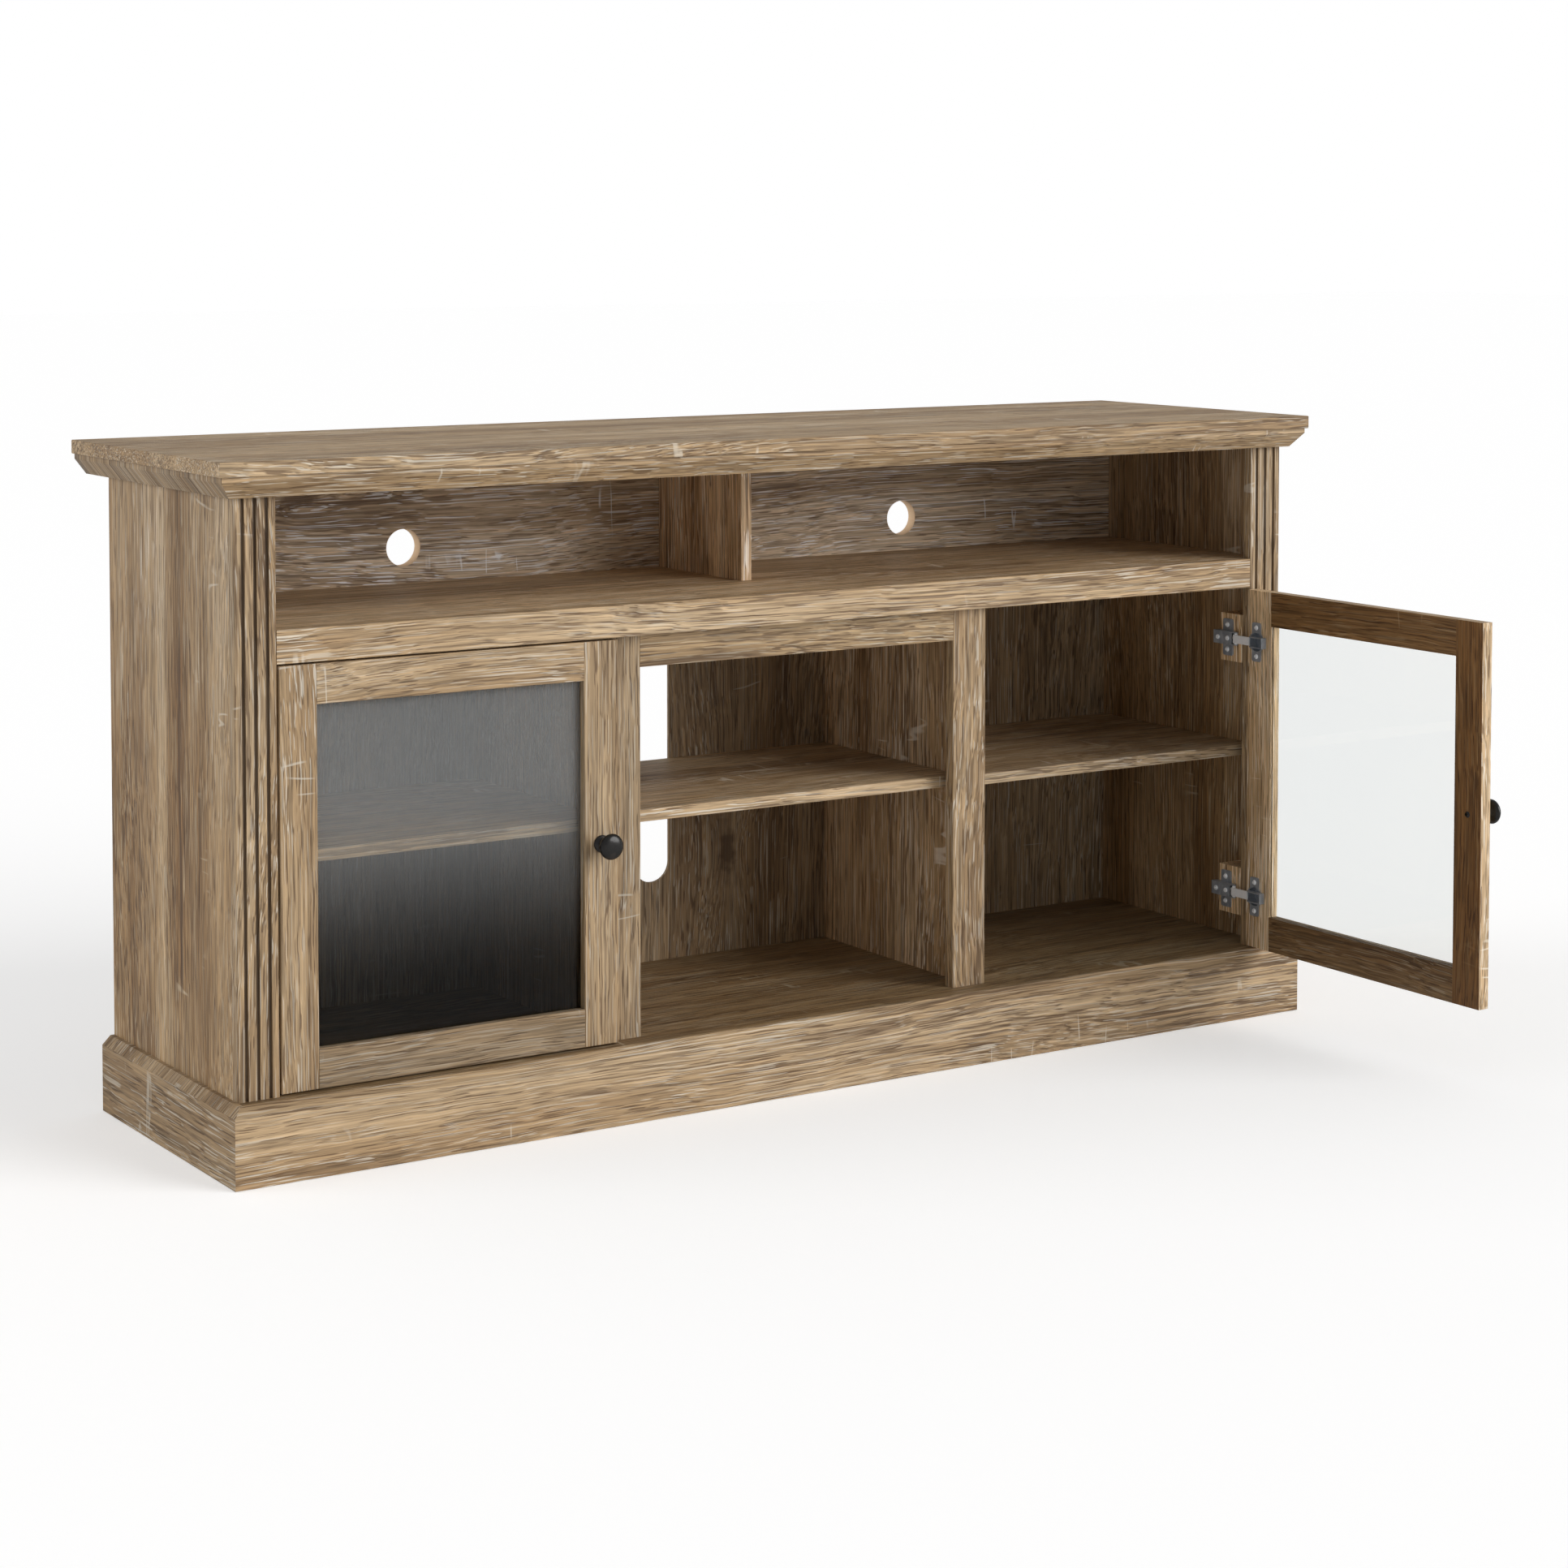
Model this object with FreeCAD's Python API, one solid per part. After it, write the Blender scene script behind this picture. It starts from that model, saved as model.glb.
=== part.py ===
import FreeCAD, Part
import os

# Media cabinet: a wide top on a mitred cornice, an open upper compartment split by a divider, and a
# lower part with a framed centre bay between two glazed doors, all on a chamfered plinth.
# Millimetres. +X is the cabinet's right as seen from in front, +Y goes back, +Z is up.
# The origin is on the floor, at the middle of the plinth's footprint.

os.makedirs("parts", exist_ok=True)
V = FreeCAD.Vector

# ---- driving dimensions -------------------------------------------------------------------------
height = 776.0          # floor to the top of the slab
top_width = 1514.0      # slab
top_depth = 428.0
top_thick = 16.0
inset = 26.0            # slab edge to the carcass face, front and sides
plinth_inset = 11.0     # slab edge to the plinth's side face
plinth_depth = 380.0
plinth_height = 87.0
plinth_thick = 15.0
plinth_chamfer = 10.0
board = 15.0            # carcass boards

cornice_step = 3.5      # slab edge to the cornice's upright band
cornice_band = 6.0
cornice_height = 24.0
cornice_foot = 17.5     # slab edge to the bottom of the cornice's slope

pilaster_width = 48.5
pilaster_thick = 13.5
groove_pitch = 14.0     # three flutes about the pilaster's middle
groove_radius = 2.3
groove_sink = 0.8       # depth of the flute's axis below the face

deck_top = 592.0        # top of the fixed deck that divides the two compartments
deck_rail_height = 37.0
deck_rail_thick = 15.0
divider_setback = 165.0 # slab front to the divider's front edge
upper_back_front = 360.0
lower_back_front = 368.0
lower_back_thick = 4.0
cable_hole_dia = 45.0
cable_hole_x = 366.0
cable_hole_rise = 43.3  # above the deck
slot_centre_x = -14.0
slot_width = 51.0
slot_bottom = 188.0
slot_top = 488.0

frame_stile_width = 48.6
frame_inner_x = 222.0   # half the width of the centre bay's front opening
frame_rail_height = 60.5
partition_x = 250.0     # inner face of each partition
shelf_top = 345.0
shelf_thick = 14.0
centre_shelf_back = 12.4 # centre shelf's front edge behind the face frame
side_shelf_back = 0.8   # side shelves' front edges behind the face frame
dado = 4.0              # how far a shelf end is let into its board

door_gap = 2.8          # at the pilaster
door_top_gap = 2.2
door_bottom_gap = 2.0
door_thick = 16.0
door_inner_x = 261.4    # free edge of a closed door
door_member = 44.0      # width of the door's stiles and rails
frame_clear = 0.6       # door back to the centre frame
tenon_long = 10.0
tenon_thick = 5.0
glass_thick = 3.0
glass_let_in = 7.0
glass_lip = 3.0         # wood behind the glass

knob_dia = 30.0
knob_reach = 28.5
knob_head_half = 6.0
knob_stem_dia = 11.0
knob_rose_dia = 20.0
knob_screw_dia = 4.0

hinge_from_end = 66.5   # hinge centre to the door's top or bottom edge
hinge_block_height = 62.0
hinge_block_depth = 42.5
pivot_in = 8.3          # hinge axis beyond the closed door's outer edge
pivot_back = 5.7        # hinge axis behind the closed door's front face
arm_pivot_in = 11.0     # link pin towards the middle, from the hinge axis
arm_pivot_back = 14.6   # link pin behind the hinge axis
link_reach = 29.5
link_offset = 3.0
link_thick = 2.0
link_width = 10.6
pin_radius = 1.5
knuckle_radius = 2.65
cup_radius = 13.0
cup_depth = 11.2
cup_from_edge = 17.0
plate_thick = 1.2
right_door_open = 90.0  # the right door stands open, the left one is shut

fit_gap = 0.1           # bored holes and pockets round fixed parts
run_gap = 0.05          # a pin turning in its knuckle
joint_gap = 0.3         # shadow joint between neighbouring boards

# ---- places that follow from them ---------------------------------------------------------------
half = top_width / 2.0
front = -plinth_depth / 2.0               # plane of the slab's and plinth's front edge
under_slab = height - top_thick
side_out = half - inset
side_in = side_out - board
face = front + inset                      # front of pilasters, rail and doors
pil_in = side_out - pilaster_width
pil_back = face + pilaster_thick
carcass_back = front + plinth_depth
door_out = pil_in - door_gap
door_back = face + door_thick
door_z0 = plinth_height + door_bottom_gap
door_z1 = deck_top - deck_rail_height - door_top_gap
deck_front = face + deck_rail_thick
frame_front = max(door_back, deck_front + frame_clear) + frame_clear
frame_back = frame_front + board
centre_shelf_y = frame_back + centre_shelf_back
side_shelf_y = frame_back + side_shelf_back
deck_under = deck_top - board
upper_back_y = front + upper_back_front
lower_back_y = front + lower_back_front
shelf_under = shelf_top - shelf_thick
hinge_z = (door_z0 + hinge_from_end, door_z1 - hinge_from_end)
axis_x = door_out + pivot_in
axis_y = face + pivot_back
pin_x = axis_x - arm_pivot_in
pin_y = axis_y + arm_pivot_back


def box(x0, x1, y0, y1, z0, z1):
    return Part.makeBox(x1 - x0, y1 - y0, z1 - z0, V(x0, y0, z0))


def rod(x, y, z, r, length, direction):
    return Part.makeCylinder(r, length, V(x, y, z), direction)


def prism(points, direction):
    wire = Part.makePolygon(points + [points[0]])
    return Part.Face(wire).extrude(direction)


def join(shapes):
    out = shapes[0]
    for s in shapes[1:]:
        out = out.fuse(s)
    return out.removeSplitter()


def mirror(shape):
    return shape.mirror(V(0, 0, 0), V(1, 0, 0))


def save(name, solids):
    if not isinstance(solids, (list, tuple)):
        solids = [solids]
    loose = []
    for s in solids:
        loose.extend(s.Solids)
    shape = loose[0] if len(loose) == 1 else Part.makeCompound(loose)
    shape.exportStep("parts/" + name + ".step")


def chamfer_edges(shape, size, pick):
    edges = [e for e in shape.Edges if pick(e)]
    return shape.makeChamfer(size, edges)


def along(e, axis, at):
    # a straight edge along one axis whose middle passes the test
    if len(e.Vertexes) != 2:
        return False
    d = e.Vertexes[1].Point - e.Vertexes[0].Point
    d = V(abs(d.x), abs(d.y), abs(d.z))
    whole = d.x + d.y + d.z
    if whole < 1e-6:
        return False
    if {"x": d.x, "y": d.y, "z": d.z}[axis] / whole < 0.999:
        return False
    return at(e.CenterOfMass)


# ---- top slab and cornice -----------------------------------------------------------------------
slab = box(-half, half, front, front + top_depth, under_slab, height)
slab = chamfer_edges(slab, 0.8, lambda e: along(e, "x", lambda c: c.y < front + 1) or
                     along(e, "y", lambda c: abs(c.x) > half - 1))
save("top_slab", slab)

# the cornice's section: upright band, then a slope in to its foot
cornice_low = under_slab - cornice_height
section = [
    (cornice_step, under_slab),
    (cornice_step, under_slab - cornice_band),
    (cornice_foot, cornice_low),
    (inset, cornice_low),
    (inset, under_slab),
]
mitre = inset + 20.0
front_bar = prism([V(-half, front + o, z) for o, z in section], V(top_width, 0, 0))
front_keep = prism([V(-half, front, 0), V(half, front, 0), V(half - mitre, front + mitre, 0),
                    V(-half + mitre, front + mitre, 0)], V(0, 0, height))
save("cornice_front", front_bar.common(front_keep))

right_bar = prism([V(half - o, front, z) for o, z in section], V(0, top_depth, 0))
right_keep = prism([V(half, front, 0), V(half, front + top_depth, 0),
                    V(half - mitre, front + top_depth, 0), V(half - mitre, front + mitre, 0)],
                   V(0, 0, height))
cornice_right = right_bar.common(right_keep)
save("cornice_right", cornice_right)
save("cornice_left", mirror(cornice_right))

# ---- plinth -------------------------------------------------------------------------------------
plinth_half = half - plinth_inset
plinth_in = plinth_half - plinth_thick
plinth_section = [
    (0.0, 0.0),
    (0.0, plinth_height - plinth_chamfer),
    (plinth_chamfer, plinth_height),
    (plinth_thick, plinth_height),
    (plinth_thick, 0.0),
]
front_bar = prism([V(-plinth_half, front + o, z) for o, z in plinth_section],
                  V(2 * plinth_half, 0, 0))
front_keep = prism([V(-plinth_half, front, 0), V(plinth_half, front, 0),
                    V(plinth_half - mitre, front + mitre, 0),
                    V(-plinth_half + mitre, front + mitre, 0)], V(0, 0, height))
save("plinth_front", front_bar.common(front_keep))

right_bar = prism([V(plinth_half - o, front, z) for o, z in plinth_section], V(0, plinth_depth, 0))
right_keep = prism([V(plinth_half, front, 0), V(plinth_half, front + plinth_depth, 0),
                    V(plinth_half - mitre, front + plinth_depth, 0),
                    V(plinth_half - mitre, front + mitre, 0)], V(0, 0, height))
plinth_right = right_bar.common(right_keep)
save("plinth_right", plinth_right)
save("plinth_left", mirror(plinth_right))

# bottom panel between the plinth boards, flush with their tops; rail, brace and blocks below it
floor_under = plinth_height - board
rail_y = carcass_back - board
save("bottom_panel", box(-plinth_in, plinth_in, front + plinth_thick, carcass_back,
                         floor_under, plinth_height))
save("plinth_back_rail", box(-plinth_in, plinth_in, rail_y, carcass_back, 0, floor_under))
save("plinth_centre_brace", box(-board / 2, board / 2, front + plinth_thick, rail_y,
                                0, floor_under))
block_leg = 42.0
blocks = []
for sx in (-1, 1):
    for cy, sy in ((front + plinth_thick, 1), (rail_y, -1)):
        cx = sx * plinth_in
        blocks.append(prism([V(cx, cy, 12), V(cx - sx * block_leg, cy, 12),
                             V(cx, cy + sy * block_leg, 12)], V(0, 0, floor_under - 12)))
save("plinth_corner_blocks", blocks)

# ---- side panels and fluted pilasters -----------------------------------------------------------
side = box(side_in, side_out, pil_back, carcass_back, plinth_height, under_slab)
shelf_slot = box(side_in - 1, side_in + dado + fit_gap, side_shelf_y - fit_gap,
                 lower_back_y, shelf_under - fit_gap, shelf_top + fit_gap)
side = side.cut(shelf_slot)
pilaster = box(pil_in, side_out, face, pil_back, plinth_height, under_slab)
pil_mid = (pil_in + side_out) / 2.0
for k in (-1, 0, 1):
    flute = rod(pil_mid + k * groove_pitch, face + groove_sink, plinth_height - 1,
                groove_radius, under_slab - plinth_height + 2, V(0, 0, 1))
    pilaster = pilaster.cut(flute)
pilaster = chamfer_edges(pilaster, 0.8, lambda e: along(
    e, "z", lambda c: c.y < face + 0.1 and (c.x < pil_in + 0.1 or c.x > side_out - 0.1)))
save("pilaster_right", pilaster)
save("pilaster_left", mirror(pilaster))

# ---- deck, its front rail, the divider and the upper back ---------------------------------------
deck_back = upper_back_y + board
save("deck_shelf", box(-side_in, side_in, deck_front, deck_back, deck_under, deck_top))
deck_rail = box(-pil_in + joint_gap, pil_in - joint_gap, face, deck_front,
                deck_top - deck_rail_height, deck_top)
deck_rail = chamfer_edges(deck_rail, 0.8, lambda e: along(e, "x", lambda c: c.y < face + 0.1))
save("deck_rail", deck_rail)
divider = box(-board / 2, board / 2, front + divider_setback, upper_back_y, deck_top, under_slab)
divider = chamfer_edges(divider, 0.6, lambda e: along(
    e, "z", lambda c: c.y < front + divider_setback + 0.1))
save("upper_divider", divider)
upper_back = box(-side_in, side_in, upper_back_y, deck_back, deck_top, under_slab)
for sx in (-1, 1):
    upper_back = upper_back.cut(rod(sx * cable_hole_x, upper_back_y - 1, deck_top + cable_hole_rise,
                                    cable_hole_dia / 2, board + 2, V(0, 1, 0)))
save("upper_back_panel", upper_back)

# ---- lower back with its cable slot, held by pan-head screws ------------------------------------
back_y0 = lower_back_y
back_y1 = lower_back_y + lower_back_thick
lower_back = box(-side_in, side_in, back_y0, back_y1, plinth_height, deck_under)
slot_r = slot_width / 2.0
slot = join([
    box(slot_centre_x - slot_r, slot_centre_x + slot_r, back_y0 - 1, back_y1 + 1,
        slot_bottom + slot_r, slot_top - slot_r),
    rod(slot_centre_x, back_y0 - 1, slot_bottom + slot_r, slot_r, lower_back_thick + 2, V(0, 1, 0)),
    rod(slot_centre_x, back_y0 - 1, slot_top - slot_r, slot_r, lower_back_thick + 2, V(0, 1, 0)),
])
lower_back = lower_back.cut(slot)
partition = box(partition_x, partition_x + board, frame_back, lower_back_y,
                plinth_height, deck_under)
back_screw_r = 1.5
back_screw_head = 3.5
back_screw_long = 16.0
part_mid = partition_x + board / 2.0
screw_z = [plinth_height + 40 + k * (deck_under - plinth_height - 80) / 3.0 for k in range(4)]
back_screws = []
pilots = []
for sx in (-1, 1):
    for z in screw_z:
        x = sx * part_mid
        head = Part.makeCone(back_screw_head, back_screw_head * 0.55, 2.0, V(x, back_y1, z), V(0, 1, 0))
        shank = rod(x, back_y1, z, back_screw_r, back_screw_long, V(0, -1, 0))
        cross = join([box(x - 2.2, x + 2.2, back_y1 + 0.9, back_y1 + 3, z - 0.45, z + 0.45),
                      box(x - 0.45, x + 0.45, back_y1 + 0.9, back_y1 + 3, z - 2.2, z + 2.2)])
        back_screws.append(join([head, shank]).cut(cross))
        pilots.append(rod(x, back_y1 + 1, z, back_screw_r + run_gap, back_screw_long + 2, V(0, -1, 0)))
for p in pilots:
    lower_back = lower_back.cut(p)
save("lower_back_panel", lower_back)
save("back_screws", back_screws)

# ---- partitions and the centre bay's face frame -------------------------------------------------
for y0, x0 in ((side_shelf_y, partition_x + board - dado - fit_gap),
               (centre_shelf_y, partition_x - 1)):
    x1 = x0 + dado + fit_gap + 1
    partition = partition.cut(box(x0, x1, y0 - fit_gap, lower_back_y + 1,
                                  shelf_under - fit_gap, shelf_top + fit_gap))
partition_left = mirror(partition)
for p in pilots:
    partition = partition.cut(p)
    partition_left = partition_left.cut(p)
save("partition_right", partition)
save("partition_left", partition_left)
save("side_panel_right", side)
save("side_panel_left", mirror(side))

stile_out = frame_inner_x + frame_stile_width
stile = box(frame_inner_x, stile_out, frame_front, frame_back, plinth_height, deck_under)
stile = chamfer_edges(stile, 0.6, lambda e: along(e, "z", lambda c: c.y < frame_front + 0.1))
save("frame_stile_right", stile)
save("frame_stile_left", mirror(stile))
save("frame_top_rail", box(-frame_inner_x, frame_inner_x, frame_front, frame_back,
                           deck_under - frame_rail_height, deck_under))


# ---- one shelf in each lower bay, its ends let into the boards ----------------------------------
def shelf(x0, x1, y0):
    s = box(x0, x1, y0, lower_back_y, shelf_under, shelf_top)
    return chamfer_edges(s, 0.6, lambda e: along(e, "x", lambda c: c.y < y0 + 0.1))


save("shelf_centre", shelf(-partition_x - dado, partition_x + dado, centre_shelf_y))
side_shelf = shelf(partition_x + board - dado, side_in + dado, side_shelf_y)
save("shelf_right", side_shelf)
save("shelf_left", mirror(side_shelf))


# ---- concealed hinges: all built for the right side, door shut ----------------------------------
def cross_cut(x, y, z, direction, size, depth):
    # a cross recess sunk into a screw head whose crown faces the given way
    w = size * 0.16
    if direction == "x":
        return join([box(x, x + depth, y - size / 2, y + size / 2, z - w, z + w),
                     box(x, x + depth, y - w, y + w, z - size / 2, z + size / 2)])
    return join([box(x - size / 2, x + size / 2, y - depth, y, z - w, z + w),
                 box(x - w, x + w, y - depth, y, z - size / 2, z + size / 2)])


block_in = pil_in
plate_face = block_in - plate_thick
arm_high = 7.8
arm_half = 8.5
arm_wall = 1.2
arm_face = plate_face - arm_high
plate_y0 = front + 57.5
plate_y1 = front + 77.0
arm_end = front + 87.0
web_end = pin_y + 5.5
plate_screw_y = front + 68.5
plate_screw_z = 16.0
arm_screw_y = (front + 59.0, front + 78.0)
wing_half = 24.0

blocks = []
plates = []
arms = []
plate_screws = []
arm_screws = []
links = []
cups = []
cup_screws = []
cup_bores = []
for zc in hinge_z:
    # wood block that brings the plate out to the pilaster's inner edge
    block = box(block_in, side_in, pil_back, pil_back + hinge_block_depth,
                zc - hinge_block_height / 2, zc + hinge_block_height / 2)

    # mounting plate: a foot under the arm and two rounded wings
    foot = box(plate_face, block_in, web_end + 3, arm_end - 2, zc - arm_half, zc + arm_half)
    wings = box(plate_face, block_in, plate_y0, plate_y1, zc - wing_half, zc + wing_half)
    wings = wings.makeFillet(3.0, [e for e in wings.Edges if along(e, "x", lambda c: True)])
    plate = join([foot, wings])
    for dz in (-plate_screw_z, plate_screw_z):
        z = zc + dz
        plate = plate.cut(rod(plate_face - 1, plate_screw_y, z, 1.9, 4, V(1, 0, 0)))
        block = block.cut(rod(block_in - 1, plate_screw_y, z, 1.8 + run_gap, 17, V(1, 0, 0)))
        head = Part.makeCone(2.2, 3.6, 1.8, V(plate_face - 1.8, plate_screw_y, z), V(1, 0, 0))
        shank = rod(plate_face - 0.5, plate_screw_y, z, 1.8, 16, V(1, 0, 0))
        screw = join([head, shank])
        plate_screws.append(screw.cut(cross_cut(plate_face - 1.9, plate_screw_y, z, "x", 3.2, 0.9)))
    for y in arm_screw_y:
        plate = plate.cut(rod(plate_face - 1, y, zc, 1.9 + fit_gap, 4, V(1, 0, 0)))
    blocks.append(block)

    # arm: a channel, its side walls running on to hold the link's pin
    web = box(arm_face, arm_face + arm_wall, web_end, arm_end, zc - arm_half, zc + arm_half)
    walls = []
    outline = [V(plate_face, arm_end, 0), V(arm_face, arm_end, 0), V(arm_face, web_end, 0),
               V(pin_x - knuckle_radius, pin_y, 0), V(pin_x + knuckle_radius, pin_y, 0),
               V(plate_face, web_end, 0)]
    for z in (zc - arm_half, zc + arm_half - arm_wall):
        pts = [V(p.x, p.y, z) for p in outline]
        flat = prism(pts, V(0, 0, arm_wall))
        nose = rod(pin_x, pin_y, z, knuckle_radius, arm_wall, V(0, 0, 1))
        walls.append(join([flat, nose]))
    pin = rod(pin_x, pin_y, zc - arm_half, pin_radius, 2 * arm_half, V(0, 0, 1))
    arm = join([web] + walls + [pin])
    for y in arm_screw_y:
        arm = arm.cut(rod(arm_face - 1, y, zc, 1.9 + fit_gap, 4, V(1, 0, 0)))
        head = rod(arm_face - 1.6, y, zc, 3.1, 1.6, V(1, 0, 0))
        head = chamfer_edges(head, 0.5, lambda e: abs(e.CenterOfMass.x - (arm_face - 1.6)) < 0.01
                             and len(e.Vertexes) == 1)
        shank = rod(arm_face - 0.5, y, zc, 1.9, arm_high + plate_thick + 0.3, V(1, 0, 0))
        screw = join([head, shank])
        arm_screws.append(screw.cut(cross_cut(arm_face - 1.7, y, zc, "x", 3.4, 0.9)))
    plates.append(plate)
    arms.append(arm)

    # link: a knuckle on the pin with a flat leaf that slides in the cup's hood
    knuckle = rod(pin_x, pin_y, zc - arm_half + arm_wall + 0.2, knuckle_radius,
                  2 * (arm_half - arm_wall - 0.2), V(0, 0, 1))
    leaf_y = pin_y + link_offset
    leaf = box(pin_x - link_reach, pin_x, leaf_y - link_thick / 2, leaf_y + link_thick / 2,
               zc - link_width / 2, zc + link_width / 2)
    root = box(pin_x - 1.6, pin_x + 1.6, pin_y + 1.4, leaf_y + link_thick / 2,
               zc - link_width / 2, zc + link_width / 2)
    link = join([knuckle, leaf, root])
    link = link.cut(rod(pin_x, pin_y, zc - arm_half, pin_radius + run_gap, 2 * arm_half, V(0, 0, 1)))
    links.append(link)

    # cup let into the door, its flange and the hood's two cheeks
    cup_x = door_out - cup_from_edge
    cup_bores.append(rod(cup_x, door_back + 1, zc, cup_radius + fit_gap, cup_depth + 1.3, V(0, -1, 0)))
    pot = rod(cup_x, door_back + plate_thick, zc, cup_radius, cup_depth + plate_thick, V(0, -1, 0))
    rim = rod(cup_x, door_back, zc, cup_radius + 0.8, plate_thick, V(0, 1, 0))
    strip = box(cup_x - 8.5, cup_x + 8.5, door_back, door_back + plate_thick, zc - 25.2, zc + 25.2)
    strip = strip.makeFillet(3.0, [e for e in strip.Edges if along(e, "y", lambda c: True)])
    hood_x0 = pin_x - link_reach - 2.4
    hood_x1 = pin_x - knuckle_radius - 0.8
    base = box(hood_x0, hood_x1, door_back, door_back + plate_thick, zc - 6.9, zc + 6.9)
    cup = join([pot, rim, strip, base])
    cup = cup.cut(rod(cup_x, door_back + 5, zc, cup_radius - 0.9, cup_depth + 4.1, V(0, -1, 0)))
    hood_high = 8.0
    cheeks = []
    for s in (-1, 1):
        za = zc + s * 5.7
        zb = zc + s * 6.9
        tri = [V(hood_x0, door_back + 0.4, min(za, zb)), V(hood_x1, door_back + 0.4, min(za, zb)),
               V(hood_x1, door_back + 4.0, min(za, zb)), V(hood_x1 - 5, door_back + hood_high, min(za, zb)),
               V(hood_x0, door_back + hood_high, min(za, zb))]
        cheeks.append(prism(tri, V(0, 0, 1.2)))
    stop = box(hood_x0, hood_x0 + 1.2, door_back + 0.4, door_back + hood_high, zc - 6.9, zc + 6.9)
    cup = join([cup] + cheeks + [stop])
    for dz in (-18.5, 18.5):
        z = zc + dz
        hole = rod(cup_x, door_back + 3, z, 1.7 + fit_gap, 6, V(0, -1, 0))
        cup = cup.cut(hole)
        cup_bores.append(rod(cup_x, door_back + 1, z, 1.7 + run_gap, 13, V(0, -1, 0)))
        y = door_back + plate_thick
        head = Part.makeCone(3.4, 2.1, 1.7, V(cup_x, y, z), V(0, 1, 0))
        shank = rod(cup_x, y + 0.5, z, 1.7, 12.0, V(0, -1, 0))
        screw = join([head, shank])
        cup_screws.append(screw.cut(cross_cut(cup_x, y + 1.8, z, "y", 3.0, 0.9)))
    cups.append(cup)

# ---- glazed door: two stiles, two rails, glass, knob and its screw ------------------------------
hinge_stile_in = door_out - door_member
free_stile_in = door_inner_x + door_member
rail_z0 = door_z0 + door_member
rail_z1 = door_z1 - door_member
glass_y1 = door_back - glass_lip
glass_y0 = glass_y1 - glass_thick
rebate = box(free_stile_in - glass_let_in - 1, hinge_stile_in + glass_let_in + 1,
             glass_y0 - 0.2, glass_y1, rail_z0 - glass_let_in - 1, rail_z1 + glass_let_in + 1)
tenon_y0 = face + 2.8
tenon_y1 = tenon_y0 + tenon_thick
knob_x = door_inner_x + door_member / 2.0
knob_z = (door_z0 + door_z1) / 2.0


def door_edge(shape):
    return chamfer_edges(shape, 0.7, lambda e: along(e, "z", lambda c: c.y < face + 0.1) or
                         along(e, "x", lambda c: c.y < face + 0.1))


hinge_stile = door_edge(box(hinge_stile_in, door_out, face, door_back, door_z0, door_z1))
free_stile = door_edge(box(door_inner_x, free_stile_in, face, door_back, door_z0, door_z1))
rails = []
for z0, z1 in ((door_z0, rail_z0), (rail_z1, door_z1)):
    rail = box(free_stile_in, hinge_stile_in, face, door_back, z0, z1)
    rail = chamfer_edges(rail, 0.7, lambda e: along(e, "x", lambda c: c.y < face + 0.1))
    tenon = box(free_stile_in - tenon_long, hinge_stile_in + tenon_long, tenon_y0, tenon_y1,
                z0 + 6, z1 - 6)
    rails.append(join([rail, tenon]).cut(rebate))
    mortise = box(free_stile_in - tenon_long - 0.5, hinge_stile_in + tenon_long + 0.5,
                  tenon_y0 - fit_gap, tenon_y1 + fit_gap, z0 + 6 - fit_gap, z1 - 6 + fit_gap)
    hinge_stile = hinge_stile.cut(mortise)
    free_stile = free_stile.cut(mortise)
hinge_stile = hinge_stile.cut(rebate)
free_stile = free_stile.cut(rebate)
for bore in cup_bores:
    hinge_stile = hinge_stile.cut(bore)
knob_bore = rod(knob_x, face - 1, knob_z, knob_screw_dia / 2 + 0.2, door_thick + 2, V(0, 1, 0))
free_stile = free_stile.cut(knob_bore)
glass = box(free_stile_in - glass_let_in, hinge_stile_in + glass_let_in, glass_y0, glass_y1,
            rail_z0 - glass_let_in, rail_z1 + glass_let_in)

# knob, turned about its own axis: rose, waisted stem, mushroom head
r = knob_dia / 2.0
stem = knob_stem_dia / 2.0
head_mid = knob_reach - knob_head_half
outline = [
    V(0, 0, 0),
    V(knob_rose_dia / 2, 0, 0),
    V(knob_rose_dia / 2, 0, 1.4),
    V(knob_rose_dia / 2 - 1.6, 0, 2.6),
    V(stem + 0.6, 0, 4.2),
    V(stem, 0, 8.0),
    V(stem + 1.4, 0, head_mid - 7.0),
]
wire = [Part.makeLine(outline[k], outline[k + 1]) for k in range(len(outline) - 1)]
under = Part.Arc(outline[-1], V(r * 0.86, 0, head_mid - 3.4), V(r, 0, head_mid)).toShape()
crown = V(r * 0.28, 0, knob_reach - 0.25)
over = Part.Arc(V(r, 0, head_mid), V(r * 0.76, 0, head_mid + knob_head_half * 0.70), crown).toShape()
wire += [under, over, Part.makeLine(crown, V(0, 0, knob_reach)),
         Part.makeLine(V(0, 0, knob_reach), outline[0])]
knob = Part.Face(Part.Wire(wire)).revolve(V(0, 0, 0), V(0, 0, 1), 360)
knob = knob.cut(rod(0, 0, -1, knob_screw_dia / 2 + run_gap, 13, V(0, 0, 1)))
knob.rotate(V(0, 0, 0), V(1, 0, 0), 90)
knob.translate(V(knob_x, face, knob_z))
knob_screw = join([
    Part.makeCone(3.8, 2.2, 2.2, V(knob_x, door_back, knob_z), V(0, 1, 0)),
    rod(knob_x, door_back, knob_z, knob_screw_dia / 2, door_thick + 10, V(0, -1, 0)),
])
knob_screw = knob_screw.cut(cross_cut(knob_x, door_back + 2.3, knob_z, "y", 3.4, 1.2))

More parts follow.
